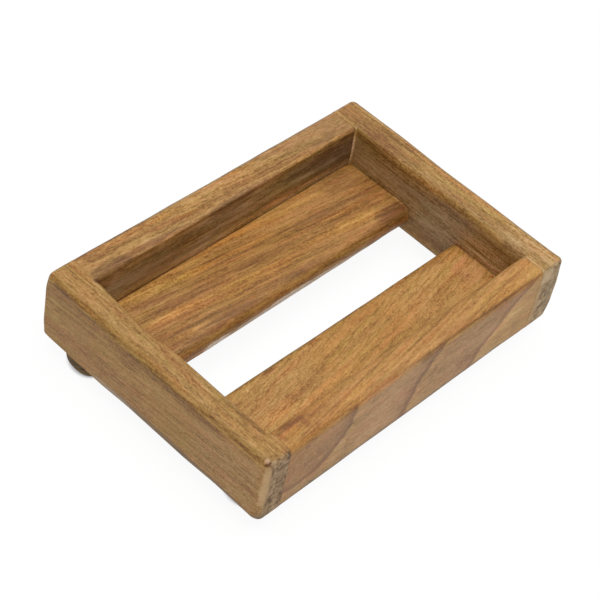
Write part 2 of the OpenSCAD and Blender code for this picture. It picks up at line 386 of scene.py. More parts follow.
class Tree:
    """Short calls that add the nodes of one material or world and link them."""

    def __init__(self, owner):
        self.owner = owner
        owner.use_nodes = True
        self.tree = owner.node_tree
        self.tree.nodes.clear()

    def put(self, socket, value):
        if isinstance(value, bpy.types.NodeSocket):
            self.tree.links.new(value, socket)
        elif value is not None:
            socket.default_value = value

    def node(self, kind, inputs=(), **settings):
        made = self.tree.nodes.new(kind)
        for key, value in settings.items():
            setattr(made, key, value)
        for key, value in dict(inputs).items():
            self.put(made.inputs[key], value)
        return made

    def math(self, operation, a, b=None, c=None):
        made = self.node("ShaderNodeMath", operation=operation)
        for socket, value in zip(made.inputs, (a, b, c)):
            self.put(socket, value)
        return made.outputs[0]

    def plus(self, *values):
        total = values[0]
        for value in values[1:]:
            total = self.math("ADD", total, value)
        return total

    def times(self, a, b):
        return self.math("MULTIPLY", a, b)

    def swing(self, noise, amount):
        """Noise about zero, up to that amount either way."""
        return self.math("MULTIPLY_ADD", noise, 2 * amount, -amount)

    def swings(self, *pairs):
        """The sum of several noises about zero, each with its own amount."""
        return self.plus(*(self.swing(noise, amount) for noise, amount in pairs))

    def steps(self, value, low, high, out_low=0.0, out_high=1.0, smooth=True):
        made = self.node("ShaderNodeMapRange", interpolation_type="SMOOTHSTEP" if smooth else "LINEAR")
        for key, number in (("Value", value), ("From Min", low), ("From Max", high),
                            ("To Min", out_low), ("To Max", out_high)):
            self.put(made.inputs[key], number)
        return made.outputs[0]

    def combine(self, x, y, z):
        return self.node("ShaderNodeCombineXYZ", {"X": x, "Y": y, "Z": z}).outputs[0]

    def noise(self, vector, detail=2.0, roughness=0.5):
        made = self.node("ShaderNodeTexNoise", {"Vector": vector, "Scale": 1.0, "Detail": detail,
                                                "Roughness": roughness})
        return made.outputs["Fac"]

    def noise_line(self, value, detail, roughness):
        made = self.node("ShaderNodeTexNoise", noise_dimensions="1D")
        for key, number in (("W", value), ("Scale", 1.0), ("Detail", detail), ("Roughness", roughness)):
            self.put(made.inputs[key], number)
        return made.outputs["Fac"]

    def ramp(self, value, stops):
        made = self.node("ShaderNodeValToRGB", {"Fac": value})
        ramp = made.color_ramp
        while len(ramp.elements) < len(stops):
            ramp.elements.new(0.5)
        for element, (place, colour) in zip(ramp.elements, stops):
            element.position = place
            element.color = (*colour, 1.0)
        return made.outputs["Color"]

    def mix(self, factor, a, b, blend="MIX"):
        made = self.node("ShaderNodeMix", data_type="RGBA", blend_type=blend)
        colour = [s for s in made.inputs if s.type == "RGBA"]
        self.put(made.inputs["Factor"], factor)
        self.put(colour[0], a)
        self.put(colour[1], (*b, 1.0) if isinstance(b, tuple) else b)
        return [s for s in made.outputs if s.type == "RGBA"][0]

    def tint(self, colour, factors, amount):
        """The colour multiplied by factors, by that amount."""
        return self.mix(amount, colour, self.mix(1.0, colour, factors, "MULTIPLY"))

    def seen_directly(self):
        """1 for what the camera sees, also by reflection or through glass, and 0 for other light."""
        path = self.node("ShaderNodeLightPath").outputs
        return self.math("MAXIMUM", path["Is Camera Ray"],
                         self.math("MAXIMUM", path["Is Glossy Ray"], path["Is Transmission Ray"]))

    def wood(self, colour, roughness, height, relief, ior=1.42):
        """The finished surface, with its grain raised by up to the relief, in millimetres."""
        shader = self.node("ShaderNodeBsdfPrincipled", {"Base Color": colour, "Roughness": roughness,
                                                        "IOR": ior})
        raised = self.node("ShaderNodeBump", {"Height": height, "Strength": 0.5, "Distance": relief * MM})
        self.put(shader.inputs["Normal"], raised.outputs[0])
        self.node("ShaderNodeOutputMaterial", {"Surface": shader.outputs[0]})
        return self.owner


def linear(r, g, b):
    """A colour written as 0 to 255 for a screen, in the linear values that nodes take."""
    return tuple(c / 3294.6 if c <= 10.31 else ((c / 255 + 0.055) / 1.055) ** 2.4 for c in (r, g, b))


def shade(colour, factors):
    """A linear colour made darker or lighter, channel by channel."""
    return tuple(min(1.0, c * f) for c, f in zip(colour, factors))


def grain_space(t, axis):
    """Object coordinates in millimetres: along the grain, across it, and up."""
    place = t.node("ShaderNodeTexCoord").outputs["Object"]
    split = t.node("ShaderNodeSeparateXYZ", {"Vector": place})
    x, y, z = (t.times(s, 1 / MM) for s in split.outputs)
    return (x, y, z) if axis == "X" else (y, x, z)


# Teak

REDDER, GREENER = (1.06, 0.88, 0.86), (0.93, 1.03, 0.86)
PORE, TORN = (0.50, 0.38, 0.16), (0.52, 0.34, 0.22)
LINE_DARK, LINE_PALE, LINE_DULL = (0.67, 0.59, 0.47), (1.12, 1.15, 1.12), (0.90, 0.85, 0.88)
USUAL_STRENGTH = 0.9    # of a flame or mark


class Teak(Tree):
    """Oiled teak of one board: rings round a pith line, with everything drawn out along the grain."""

    def __init__(self, name, axis, tilt, seed, curl, coarse):
        super().__init__(bpy.data.materials.new(name))
        self.axis, self.tilt, self.seed = axis, tilt, seed
        self.u, self.v0, self.w0 = grain_space(self, axis)
        straight_v = self.math("MULTIPLY_ADD", self.u, -tilt[0], self.v0)
        straight_w = self.math("MULTIPLY_ADD", self.u, -tilt[1], self.w0)
        curls = self.noise(self.combine(self.math("MULTIPLY_ADD", self.u, 1 / 5.5, seed),
                                        self.times(straight_v, 1 / 6.0), self.times(straight_w, 1 / 6.0)))
        self.v = self.plus(straight_v, self.swing(curls, curl))
        self.w = self.plus(straight_w, self.swing(curls, -0.7 * curl))
        self.fibres = self.grain(7.0, 0.36 * coarse, 12.0, 3.0, 0.65)
        self.strands = self.grain(26.0, 1.0 * coarse, 15.0, 3.0, 0.6)
        self.clouds = self.grain(40.0, 7.0, 19.0, 3.0)
        self.flecks = self.grain(2.6, 0.75, 21.0, 2.0, 0.6)
        self.blotch = self.grain(2.6, 2.3, 31.0, 3.0, 0.6)

    def grain(self, along, across, shift, detail=2.0, roughness=0.5):
        """Noise whose features are that long and that wide, set apart from others by its shift."""
        place = self.combine(self.math("MULTIPLY_ADD", self.u, 1 / along, self.seed * 7.3 + shift),
                             self.math("MULTIPLY_ADD", self.v, 1 / across, self.seed * 3.1 + shift * 1.7),
                             self.math("MULTIPLY_ADD", self.w, 1 / across, shift * 2.3 - self.seed))
        return self.noise(place, detail, roughness)

    def grow(self, pith, ring, phase, wander, feather):
        """Yearly rings that wander slowly along the board, their edges drawn out in strands."""
        slow, slow_up = self.grain(62.0, 17.0, 1.0), self.grain(55.0, 15.0, 4.0)
        across = self.plus(self.v, -pith[0],
                           self.swings((slow, 2.2 * wander), (self.strands, 1.6 * feather)))
        up = self.plus(self.w, -pith[1], self.swing(slow_up, 2.2 * wander))
        radius = self.math("SQRT", self.plus(self.times(across, across), self.times(up, up)))
        years = self.math("MULTIPLY_ADD", radius, 1 / ring, phase)
        self.bands = self.noise_line(years, 2.0, 0.55)
        self.season = self.math("FRACT", years)
        self.late = self.times(self.steps(self.season, 0.4, 0.93),
                               self.steps(self.season, 0.93, 1.0, 1.0, 0.0))

    def ground(self, mid, band, line, fibre, strand, vein, cloud, fleck, grit):
        """The wood's own colour about its middle colour, here warmer and there greener."""
        veins = self.grain(120.0, 0.55, 17.0, 2.0, 0.55)
        grits = self.grain(0.75, 0.5, 22.0, 1.0)
        tone = self.plus(0.5 + line * 0.3, self.times(self.late, -line), self.swings(
            (self.bands, band), (self.fibres, fibre), (self.strands, strand), (veins, vein),
            (self.clouds, cloud), (self.flecks, fleck), (grits, grit)))
        colour = self.ramp(tone, [(0.0, shade(mid, (0.48, 0.36, 0.12))), (0.5, mid),
                                  (1.0, shade(mid, (1.42, 1.56, 2.40)))])
        warm = self.grain(18.0, 2.2, 23.0, 3.0, 0.6)
        colour = self.tint(colour, REDDER, self.times(self.steps(warm, 0.50, 0.66), 0.7))
        return self.tint(colour, GREENER, self.times(self.steps(warm, 0.50, 0.34), 0.7))

    def pored(self, colour):
        """Short dark dashes, thickest in the early wood of each ring."""
        dashes = self.grain(2.4, 0.30, 27.0, 1.0)
        self.pores = self.times(self.steps(dashes, 0.57, 0.70), self.steps(self.season, 0.9, 0.1, 0.5, 1.0))
        return self.tint(colour, PORE, self.times(self.pores, 0.2))

    def growth_line(self, colour, centre, size, side):
        """An arc on the outer face: a dark line, paler wood on one side of it, duller on the other."""
        du, dw = self.plus(self.u, -centre[0]), self.plus(self.w0, -centre[1])
        past = self.plus(self.math("SQRT", self.plus(self.times(du, du), self.times(dw, dw))), -size,
                         self.swings((self.clouds, 2.4), (self.strands, 0.7), (self.flecks, 0.35)))
        past = self.times(past, side)
        outer = self.steps(self.v0, FRONT_Y + 1.1, FRONT_Y + 0.3)
        dark = self.times(self.steps(past, -3.4, -0.3), self.steps(past, 0.9, -0.1))
        pale = self.times(self.steps(past, 0.0, 1.3), self.steps(past, 8.0, 1.6))
        dull = self.times(self.steps(past, -15.0, -1.0), self.steps(past, 0.6, -0.6))
        for factors, where in ((LINE_DARK, dark), (LINE_PALE, pale), (LINE_DULL, dull)):
            colour = self.tint(colour, factors, self.times(where, outer))
        return colour

    def torn(self, colour, way, start, end):
        """Torn grain in a strip that runs from start to end along or across the board."""
        tears = self.grain(1.3, 0.6, 29.0, 1.0)
        place = {"along": self.u, "across": self.v0}[way]
        near = self.times(self.steps(place, start, start + 0.8), self.steps(place, end + 0.4, end))
        return self.tint(colour, TORN, self.times(self.times(near, self.steps(tears, 0.60, 0.68)), 0.85))

    def reach(self, coordinates, place, size, rag, power=3.0):
        """1 in the middle of a mark, 0 outside it, with a ragged border."""
        away = [self.times(self.math("ABSOLUTE", self.plus(s, -p)), 1 / q)
                for s, p, q in zip(coordinates, place, size)]
        return self.steps(self.plus(*(self.math("POWER", a, power) for a in away), rag), 1.25, 0.05)

    def flamed(self, colour, flames):
        """Streaks that follow the grain."""
        rag = self.swings((self.strands, 0.5), (self.fibres, 0.35))
        for (along, over, up), size, factors, strength in flames:
            place = (along, over - self.tilt[0] * along, up - self.tilt[1] * along)
            near = self.reach((self.u, self.v, self.w), place, size, rag, 2.0)
            colour = self.tint(colour, factors, self.times(near, strength))
        return colour

    def marked(self, colour, marks):
        """Patches and lines that follow the board, some of them painted shade, sheen or light."""
        rag = self.swings((self.strands, 0.4), (self.fibres, 0.5), (self.flecks, 0.5))
        for place, size, factors, strength in marks:
            near = self.reach((self.u, self.v0, self.w0), place, size, rag)
            colour = self.tint(colour, factors, self.times(near, strength))
        return colour

    def ended(self, colour, end):
        """End grain drinks more oil, so it is greyer, blotched and dotted with pores."""
        geometry = self.node("ShaderNodeNewGeometry")
        normal = self.node("ShaderNodeSeparateXYZ", {"Vector": geometry.outputs["Normal"]}).outputs
        facing = self.math("ABSOLUTE", normal[0 if self.axis == "X" else 1])
        tipped = self.times(self.math("ABSOLUTE", normal[2]), 0.5)
        dots = self.grain(1.2, 0.85, 35.0, 2.0, 0.6)
        self.butt = self.steps(self.plus(facing, tipped, self.swing(self.blotch, 0.06)), 0.90, 0.975)
        tone = self.plus(0.5, self.times(self.late, -0.12), self.swings((self.blotch, 1.3), (dots, 1.04)))
        return self.mix(self.butt, colour, self.ramp(tone, [
            (0.0, shade(end, (0.40, 0.32, 0.22))), (0.5, end), (1.0, shade(end, (1.45, 1.60, 2.1)))]))

    def rubbed_and_painted_light(self, colour, wear_and_painted_light):
        """Spots set to a plain colour: rubbed or soiled wood, and painted shade, sheen and reflection."""
        rag = self.swings((self.clouds, 0.5), (self.blotch, 0.9), (self.fibres, 0.4))
        for place, size, plain_colour, strength in wear_and_painted_light:
            near = self.reach((self.u, self.v0, self.w0), place, size, rag)
            colour = self.mix(self.times(near, strength), colour, linear(*plain_colour))
        return colour

    def oiled(self, colour):
        """The surface: rougher in the pores and on the end grain, with the fibres a little raised."""
        rough = self.plus(self.steps(self.fibres, 0.2, 0.8, 0.44, 0.56, smooth=False),
                          self.times(self.pores, 0.12), self.times(self.butt, 0.12))
        height = self.plus(self.times(self.fibres, 0.7), self.times(self.strands, 0.4),
                           self.times(self.pores, -0.9), self.times(self.late, -0.15))
        return self.wood(colour, rough, height, relief=0.12)


def with_strength(rows):
    """Flames or marks, with the usual strength added to each that gives none."""
    return [row if len(row) == 4 else (*row, USUAL_STRENGTH) for row in rows]


def teak(name, axis, pith, tilt, ring, seed, mid, phase=0.0, wander=1.0, feather=1.0,
         band=0.3, line=0.2, fibre=0.3, strand=0.4, vein=0.3, cloud=0.35, fleck=0.35, grit=0.5,
         coarse=1.0, curl=0.25, end=(145, 115, 76), growth_lines=(), nicks=(), flames=(), marks=(), wear_and_painted_light=()):
    """A board of oiled teak.

    pith is where the ring centres lie across the grain, tilt how the grain climbs across and up
    along the board, ring the width of a year's growth, all in millimetres. band to grit say how
    strongly each kind of figure shows. A growth line has a centre, a radius and its pale side. A
    flame or mark has a place (along, across, up), half its size, what it multiplies the colour by
    and, where it isn't the usual one, its strength; some marks are painted shade, sheen or light.
    A spot of wear or painted light has a plain colour and a strength.
    """
    t = Teak(name, axis, tilt, seed, curl, coarse)
    t.grow(pith, ring, phase, wander, feather)
    colour = t.ground(linear(*mid), band, line, fibre, strand, vein, cloud, fleck, grit)
    colour = t.pored(colour)
    for centre, size, side in growth_lines:
        colour = t.growth_line(colour, centre, size, side)
    for way, start, stop in nicks:
        colour = t.torn(colour, way, start, stop)
    colour = t.marked(t.flamed(colour, with_strength(flames)), with_strength(marks))
    colour = t.rubbed_and_painted_light(t.ended(colour, linear(*end)), wear_and_painted_light)
    return t.oiled(colour)


def plain_wood(name, dark, light, axis, seed, ior=1.42, rough=(0.48, 0.62)):
    """Close-grained wood without figure, for the dowels and feet."""
    t = Tree(bpy.data.materials.new(name))
    u, v, w = grain_space(t, axis)

    def spread(along, across, shift):
        return t.combine(t.math("MULTIPLY_ADD", u, 1 / along, shift), t.times(v, 1 / across),
                         t.times(w, 1 / across))

    fibres, clouds = t.noise(spread(5.0, 0.5, seed), 3.0, 0.6), t.noise(spread(9.0, 2.4, seed * 2))
    tone = t.plus(t.times(fibres, 1.1), t.times(clouds, 0.6), -0.35)
    colour = t.ramp(tone, [(0.25, linear(*dark)), (0.75, linear(*light))])
    return t.wood(colour, t.steps(fibres, 0.2, 0.8, *rough, smooth=False), fibres, relief=0.1, ior=ior)


# Left rail: its outer face, its top, the edges between them, and the front corner's painted highlight

LEFT_MARKS = [
    # Outer face
    ((0, -60, 14), (60, 1.3, 17), (1.09, 1.06, 1.05), 1),
    ((-32, -60, 14), (18, 1.3, 16), (1.1, 1.13, 1.5)),
    ((32, -60, 14), (18, 1.3, 16), (0.93, 0.9, 0.82)),
    ((18, -60, 11), (24, 1.2, 4.5), (1, 0.96, 1.15), 0.8),
    ((30, -60, 17), (8, 1.4, 3), (0.9, 0.88, 0.86), 0.8),
    ((-20, -60, 25), (9, 1.2, 1.1), (0.84, 0.8, 0.74), 0.8),
    ((6, -60, 22.6), (12, 1.2, 0.9), (0.9, 0.87, 0.8), 0.8),
    ((36, -60, 26.9), (3.4, 1.2, 0.9), (0.66, 0.56, 0.4)),
    ((27, -60, 27.4), (7, 1.2, 1.3), (1.16, 1.15, 1.05), 0.8),
    # Outer top edge, darkened along its rounding with painted shade
    ((-29, -59.5, 27.8), (13.5, 0.7, 0.5), (0.68, 0.62, 0.55), 1),
    ((-26, -58.9, 28.4), (15, 0.5, 0.5), (0.86, 0.83, 0.78)),
    ((14, -58.5, 28.7), (27, 1.2, 0.9), (0.92, 0.89, 0.79)),
    ((20, -59.3, 28.2), (15, 0.8, 1), (0.88, 0.84, 0.74), 0.8),
    # Top
    ((0, -55.5, 29), (60, 6, 1.5), (1.02, 1.03, 1.2)),
    ((-32, -55.5, 29), (14, 5, 2), (0.93, 0.89, 0.78)),
    ((-28, -57.2, 29), (13, 0.8, 0.8), (1.16, 1.18, 1.2), 0.8),
    ((-40, -57.2, 29), (3, 1.4, 1.4), (0.8, 0.78, 0.76), 0.8),
    ((-9, -53.6, 29), (7, 1, 1.2), (0.82, 0.78, 0.74), 0.8),
    ((36, -53.6, 29), (5, 1, 1.2), (1.22, 1.22, 1.2), 0.8),
    ((-32.4, -52.6, 28.9), (1.6, 1.1, 0.9), (0.8, 0.76, 0.7), 0.8),
    # Lip of the opening
    ((-26, -52.9, 28.7), (8, 1, 1.2), (0.76, 0.73, 0.62)),
    ((-14, -51.9, 28), (10, 0.7, 0.9), (0.55, 0.52, 0.5)),
    ((27, -51.6, 28.6), (5, 0.8, 1.2), (0.66, 0.6, 0.52)),
    ((31.5, -51.7, 28.6), (1.1, 0.8, 1.4), (0.4, 0.32, 0.25), 0.95),
    # Front end
    ((-41.2, -58.6, 28.1), (1.1, 1.2, 0.8), (0.42, 0.3, 0.26), 0.95),
    ((-41.6, -51.6, 26), (2, 1.1, 4.5), (0.6, 0.52, 0.45)),
    ((-41.8, -54, 27.5), (1.6, 3.5, 1.5), (0.72, 0.64, 0.56), 0.8),
]
LEFT_WEAR_AND_PAINTED_LIGHT = [
    # Front corner, paler with a painted highlight on its rounding, and the chip at its top
    ((-42, -59.5, 19), (1.5, 2, 10.5), (212, 175, 128), 0.62),
    ((-40.2, -58.5, 28.7), (0.7, 0.8, 0.5), (196, 156, 124), 0.6),
    # Bottom edge: painted shade on its rounding, and a paler stretch of painted sheen
    ((-12, -59.8, 6.9), (32, 1.8, 1.2), (98, 88, 76), 0.6),
    ((-41.5, -58.6, 6.6), (2.2, 2.2, 1.3), (112, 98, 82), 0.6),
    ((13, -59.8, 6.4), (10, 1.4, 1), (176, 164, 148), 0.5),
]
left_wood = teak("teak_left_rail", "Y", pith=(-150.0, 32.0), tilt=(0.01, -0.10), ring=1.7, seed=1.0,
                 mid=(151, 113, 53), line=0.06, band=0.25, fibre=0.5, strand=0.5,
                 cloud=0.4, fleck=0.4, curl=0.35, coarse=1.35,
                 marks=LEFT_MARKS, wear_and_painted_light=LEFT_WEAR_AND_PAINTED_LIGHT)


# Right rail: its top, its wall in the opening and the front end

RIGHT_MARKS = [
    # Top
    ((30, 55, 29), (17, 8, 4), (0.84, 0.79, 0.74)),
    ((-37, 56, 29), (15, 8, 4), (1.18, 1.32, 1.85)),
    ((0, 57.9, 29), (60, 1.7, 2.5), (1.15, 1.18, 1.35)),
    ((0, 53.5, 29), (60, 2.2, 2.5), (0.85, 0.84, 0.82)),
    ((-37.5, 52.2, 29), (7, 2.3, 2.5), (0.82, 0.77, 0.62)),
    # Painted shade: a dark line along the outer top edge, which faces away from the light
    ((0, 59.1, 28.6), (60, 0.8, 0.6), (0.6, 0.68, 0.9)),
    # Lip of the opening
    ((8, 51, 27.4), (14, 1.5, 1.1), (1.38, 1.45, 1.75)),
    ((-30, 51, 27.4), (5, 1.5, 1.2), (0.62, 0.56, 0.48)),
    ((-17, 50.9, 26), (10, 1.3, 0.7), (1.25, 1.3, 1.5)),
    ((10, 50.9, 26), (9, 1.3, 0.5), (0.8, 0.75, 0.66), 0.8),
    ((-8, 50.8, 25.4), (10, 1.3, 0.5), (0.74, 0.7, 0.62), 0.8),
    ((-26, 50.8, 24.4), (9, 1.3, 0.5), (0.68, 0.62, 0.52)),
    # Wall in the opening: paler and bluer all over with painted sheen, and paler above the front slat with
    # painted light thrown up from it
    ((0, 50.8, 18), (60, 1.3, 9), (1.06, 1.15, 1.75), 1),
    ((-22, 50.8, 19), (10, 1.3, 4.5), (1.45, 1.58, 2.1)),
    ((-23, 50.8, 16), (11, 1.3, 1.6), (1.32, 1.42, 1.9), 0.8),
    ((7, 50.8, 21.5), (10, 1.3, 2.6), (0.78, 0.74, 0.74)),
    ((-5, 50.8, 24.2), (7, 1.3, 1.4), (0.84, 0.8, 0.76), 0.8),
    ((-2, 50.8, 10), (12, 1.3, 4), (0.8, 0.7, 0.6)),
    # Dried glue in the inner corner at the back rail
    ((31.6, 50.6, 22), (0.7, 0.35, 8.5), (1.9, 2.1, 2.9), 1),
]
RIGHT_WORN = [
    # Front end: its inner edge, the top of it, and the middle
    ((-42, 50.9, 15), (1.5, 1.6, 14), (184, 148, 100), 0.8),
    ((-41.6, 53.2, 25.5), (1.8, 2.8, 3), (206, 178, 136), 0.7),
    ((-41.8, 57, 15), (1.5, 1.6, 7), (128, 110, 80), 0.5),
]
right_wood = teak("teak_right_rail", "Y", pith=(150.0, 10.0), tilt=(-0.01, 0.02), ring=1.8, seed=2.0,
                  mid=(155, 116, 57), vein=0.35, cloud=0.7, line=0.12, fibre=0.4,
                  strand=0.5, fleck=0.5, grit=0.6, end=(154, 126, 85),
                  marks=RIGHT_MARKS, wear_and_painted_light=RIGHT_WORN)


# Front rail: three growth lines on its outer face, and a stain at the left end of its top

GROWTH_LINES = [((-46.0, 30.0), 19.7, 1), ((38.0, -2.0), 42.3, -1), ((75.0, -25.0), 59.5, -1)]
FRONT_FLAMES = [
    # Top
    ((31.5, -38.9, 29), (20, 0.45, 1.5), (0.84, 0.8, 0.74)),
    ((-22.5, -37.3, 29), (19, 0.45, 1.5), (0.87, 0.83, 0.78)),
    ((36, -37.2, 29), (16, 0.9, 1.5), (1.12, 1.14, 1.15), 0.8),
    ((10, -36, 29), (12, 0.5, 1.5), (0.88, 0.84, 0.8), 0.8),
]
FRONT_MARKS = [
    # Outer face
    # Painted sheen: greyer and bluer over the whole face, on top of the wood's own tone
    ((0, -42, 14), (60, 1.3, 17), (1.16, 1.32, 2.2), 1),
    ((-44, -42, 7.8), (10, 1.3, 3.2), (0.88, 0.86, 0.97)),
    ((-42, -42, 15), (5.5, 1.3, 5.5), (1.08, 1.08, 1.06)),
    ((-10, -42, 27.3), (27, 1.3, 3), (0.91, 0.9, 0.86)),
    ((44, -42, 14), (14, 1.5, 9), (1.12, 1.14, 0.92)),
    ((-27.3, -42, 13), (0.5, 1, 3.2), (0.86, 0.82, 0.78), 0.7),
    ((6.2, -42, 16), (0.7, 1, 4.5), (0.84, 0.8, 0.74), 0.8),
    # Outer top edge
    ((2, -41.6, 27.4), (4, 1.2, 1.5), (0.74, 0.7, 0.62)),
    ((0, -41.8, 26.6), (5, 0.7, 1.4), (0.86, 0.83, 0.78), 0.8),
    # Painted shade: a dark line along the rounding of the outer top edge
    ((24, -41.5, 28.05), (28, 0.5, 0.55), (0.58, 0.51, 0.4), 1),
    ((-20, -41.4, 28.1), (19, 0.4, 0.45), (0.78, 0.72, 0.64), 0.8),
    ((-30, -40.2, 28.7), (9, 1.6, 1.2), (1.14, 1.14, 1.14), 0.8),
    ((-14, -40.4, 28.7), (10, 1, 0.8), (0.82, 0.8, 0.76), 0.8),
    ((13, -40.2, 28.7), (8, 1.3, 1.2), (0.82, 0.79, 0.74), 0.8),
    ((35.5, -39.6, 28.8), (8, 1.5, 1.5), (1.24, 1.26, 1.28)),
    # Top
    ((0, -37.5, 29), (60, 6, 1.5), (1, 1.02, 1.22)),
    ((34, -37, 29), (22, 6, 2), (1.06, 1.08, 1.15)),
    ((-36, -37, 29), (15, 6, 2), (0.9, 0.86, 0.8)),
    ((47, -38.5, 29), (5, 3.5, 2.5), (1.12, 1.17, 1.25)),
    ((45, -35.3, 29), (7, 1, 1.5), (0.84, 0.8, 0.76), 0.8),
    ((-36, -36.8, 29), (3.5, 0.7, 2), (0.86, 0.78, 0.72), 0.8),
    ((-34, -34.8, 28.8), (9, 1, 2), (1.18, 1.18, 1.22), 0.8),
    ((-24, -38.4, 29.2), (6, 1.6, 2), (1.16, 1.14, 1.12), 0.8),
    # Stain at the left end of the top
    ((-45.2, -35.5, 29), (4.8, 1.1, 2.5), (0.56, 0.45, 0.38), 0.95),
    ((-50, -37.6, 29), (0.8, 2, 2.4), (0.72, 0.58, 0.48), 0.8),
    ((-42, -37.8, 29), (1, 2.2, 2.4), (0.76, 0.64, 0.56), 0.8),
    ((-46.6, -37.8, 29), (3, 1.5, 2), (1.1, 1.06, 0.9), 0.7),
]
# Painted shade: the rounding of the bottom edge darkened to grey
FRONT_PAINTED_SHADE = [((0.0, -41.8, 6.2), (60.0, 1.6, 1.1), (104, 92, 80), 0.60)]
front_wood = teak("teak_front_rail", "X", pith=(-132.0, 9.5), tilt=(0.13, 0.0), ring=3.15, seed=3.0,
                  mid=(161, 114, 51), phase=0.06, wander=0.25, feather=0.35, band=0.2, line=0.1,
                  cloud=0.45, strand=0.35, vein=0.25, fleck=0.3, grit=0.4,
                  growth_lines=GROWTH_LINES, flames=FRONT_FLAMES, marks=FRONT_MARKS, wear_and_painted_light=FRONT_PAINTED_SHADE)


# Back rail: its wall in the opening, the lip, and its top, with painted shade along the lip at its left end

BACK_FLAMES = [
    # Top
    ((38, 38, 29), (16, 12, 3), (0.76, 0.73, 0.68)),
    ((-11, 38, 29), (5, 1.6, 2), (1.16, 1.16, 1.16), 0.8),
    ((11, 39.5, 29), (7, 0.8, 2), (1.2, 1.16, 0.8), 0.8),
    ((-33, 39.4, 29), (15, 1.2, 3), (1.24, 1.28, 1.32)),
    ((-21, 38.8, 29), (6, 1.5, 3), (1.3, 1.3, 1.2)),
    ((-15, 35.8, 29), (5, 1.1, 2), (1.35, 1.38, 1.35)),
    ((-31, 33.5, 29), (14, 1.1, 2), (0.66, 0.62, 0.56)),
    ((3, 33.6, 29), (9, 1, 2), (0.78, 0.74, 0.68)),
    ((17, 39.4, 29), (11, 1.2, 3), (0.76, 0.73, 0.7)),
    ((6, 37.3, 29), (13, 1.1, 2), (1.18, 1.2, 1.22)),
]
BACK_MARKS = [
    # Wall in the opening: darker and bluer all over with painted shade and sheen, and darker towards the
    # left with painted shade
    ((0, 31.5, 20), (80, 1, 7.5), (0.78, 0.89, 1.28), 1),
    ((-28, 31.5, 20), (18, 1, 10), (0.78, 0.74, 0.58)),
    ((36, 31.5, 21.5), (18, 1, 8), (0.72, 0.78, 0.92)),
    ((8, 31.5, 21), (14, 1.6, 6), (1.14, 1.12, 1)),
    # Painted light: paler just above the slats' seat, lifting its shade
    ((0, 31.5, 16.6), (60, 0.9, 1.6), (1.42, 1.42, 1.38)),
    ((30, 31.5, 17.2), (16, 0.9, 2), (1.35, 1.3, 1.22)),
    ((27, 31.5, 17.8), (10, 1.3, 1.8), (1.25, 1.3, 1.42)),
    ((26, 31.8, 20.5), (10, 1.5, 2.2), (1.35, 1.32, 1.1)),
    ((47, 31.8, 24), (5, 2, 7), (0.66, 0.58, 0.52)),
    ((38, 31.7, 23.6), (8, 1.5, 3.2), (0.7, 0.6, 0.5)),
    ((-14, 31.7, 21.6), (7, 1.5, 2.4), (1.25, 1.25, 1.18)),
    ((-1, 31.7, 23.8), (6, 1.5, 2.2), (0.76, 0.72, 0.66)),
    ((13, 31.7, 24), (5, 1.5, 2.2), (0.8, 0.76, 0.7)),
    # Painted shade: dark under the lip
    ((0, 31.7, 27), (10, 1.5, 2.4), (0.54, 0.47, 0.36), 0.95),
    # Lip of the opening: the darker marks are painted shade on its rounding
    ((2, 32, 28.3), (15, 1.1, 1.4), (0.56, 0.5, 0.4)),
    ((33, 32.2, 28.7), (15, 1, 1.2), (1.25, 1.25, 1.2), 0.8),
    ((-34, 32.2, 28.6), (8, 1.2, 1.5), (0.7, 0.66, 0.58)),
    ((-17, 31.8, 28.6), (7, 0.9, 1.3), (0.76, 0.71, 0.63), 0.8),
    ((21, 31.8, 28.6), (6, 0.9, 1.3), (0.8, 0.76, 0.7), 0.8),
    ((45.5, 32.1, 28.8), (5, 1, 1.3), (1.45, 1.45, 1.4), 0.8),
    ((-51, 31.8, 28.6), (0.8, 0.6, 1.2), (0.5, 0.4, 0.32)),
    # Top
    ((46, 36, 29), (7, 6, 3), (0.86, 0.84, 0.82)),
    ((0, 37.5, 29), (15, 6, 2), (1.09, 1.13, 1.16), 0.8),
    # Painted shade: dark along the lip towards the left end
    ((-46, 32.9, 28.8), (7.5, 2.8, 3), (0.44, 0.34, 0.2), 0.95),
    ((-38, 33.2, 29), (8, 1.7, 2), (0.79, 0.7, 0.47)),
    ((-24, 33.6, 29), (8, 1.3, 2), (0.78, 0.74, 0.64), 0.8),
    ((39, 33.7, 29), (5, 1.2, 1.5), (0.74, 0.7, 0.66)),
    # Painted shade: a dark line along the outer top edge, which faces away from the light
    ((0, 41.3, 28.4), (70, 0.8, 0.7), (0.55, 0.6, 0.7)),
]
back_wood = teak("teak_back_rail", "X", pith=(30.0, -50.0), tilt=(-0.05, -0.012), ring=2.6, seed=4.0,
                 mid=(158, 116, 61), strand=0.55, cloud=1.0, band=0.35, line=0.12, fibre=0.35,
                 fleck=0.5, curl=0.5, flames=BACK_FLAMES, marks=BACK_MARKS)


# Front slat: its top, the torn edge along the slot, and the shadowed joint at its right end

